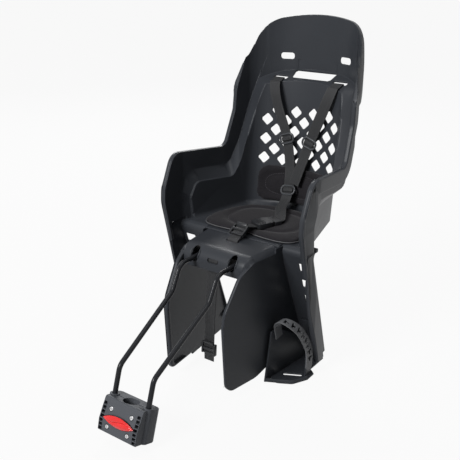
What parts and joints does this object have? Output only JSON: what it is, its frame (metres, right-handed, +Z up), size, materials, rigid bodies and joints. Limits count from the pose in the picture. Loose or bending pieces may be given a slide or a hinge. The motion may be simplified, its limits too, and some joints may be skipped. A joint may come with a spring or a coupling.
{
  "type": "child bike seat",
  "caption": "Rear child seat for a bicycle: moulded bucket with pierced back, harness, sliding footrests and a bent rod on a seat tube clamp block.",
  "frame": {"origin": "centre of the seat tube in the clamp block, halfway up the block", "axes": "+Z up, -Y forwards, +X to the child's left"},
  "size_m": [0.351, 0.6979, 0.7132],
  "materials": {
    "shell_plastic": "fine grained moulded polypropylene",
    "pad_foam": "soft black pad cloth with a welded edge",
    "webbing": "woven black webbing",
    "buckle_plastic": "smooth black acetal",
    "black_paint": "satin black powder coat",
    "steel": "bright zinc plate",
    "block_plastic": "glass filled black nylon",
    "red_plastic": "glossy red",
    "strap_rubber": "flexible dark grey strap"
  },
  "bodies": {
    "clamp_block": {"clamp_front": "block_plastic", "clamp_rear": "block_plastic", "clamp_screws": "steel", "clamp_nuts": "steel", "button_spring": "steel"},
    "release_button": {"release_button": "red_plastic"},
    "seat": {"seat_shell": "shell_plastic", "seat_pad": "pad_foam", "back_pad": "pad_foam", "carrier_rod": "black_paint", "carrier_plate": "black_paint", "plate_screws": "steel", "left_shoulder_strap": "webbing", "right_shoulder_strap": "webbing", "crotch_strap": "webbing", "safety_strap": "webbing", "left_strap_slider": "buckle_plastic", "right_strap_slider": "buckle_plastic", "harness_adjuster": "buckle_plastic", "left_strap_anchor": "buckle_plastic", "right_strap_anchor": "buckle_plastic", "buckle_tongue": "buckle_plastic", "buckle_body": "buckle_plastic", "crotch_adjuster": "buckle_plastic", "crotch_anchor": "buckle_plastic", "safety_buckle": "buckle_plastic"},
    "buckle_button": {"buckle_button": "buckle_plastic"},
    "left_footrest": {"left_footrest": "shell_plastic", "left_foot_strap": "strap_rubber"},
    "right_footrest": {"right_footrest": "shell_plastic", "right_foot_strap": "strap_rubber"}
  },
  "joints": [
    {"name": "carrier_pull_out", "type": "slide", "parent": "clamp_block", "child": "seat", "axis": [0, 0.314, 0.9494], "range_m": [0, 0.07]},
    {"name": "release_button_press", "type": "slide", "parent": "clamp_block", "child": "release_button", "axis": [0, 0.9494, -0.314], "range_m": [0, 0.003], "stiffness_N_per_m": 900, "deforming": ["button_spring"]},
    {"name": "buckle_button_press", "type": "slide", "parent": "seat", "child": "buckle_button", "axis": [0, 0, -1], "range_m": [0, 0.002], "stiffness_N_per_m": 700},
    {"name": "left_footrest_height", "type": "slide", "parent": "seat", "child": "left_footrest", "axis": [0, -0.3387, 0.9409], "range_m": [0, 0.072]},
    {"name": "right_footrest_height", "type": "slide", "parent": "seat", "child": "right_footrest", "axis": [0, -0.3387, 0.9409], "range_m": [0, 0.072]}
  ]
}
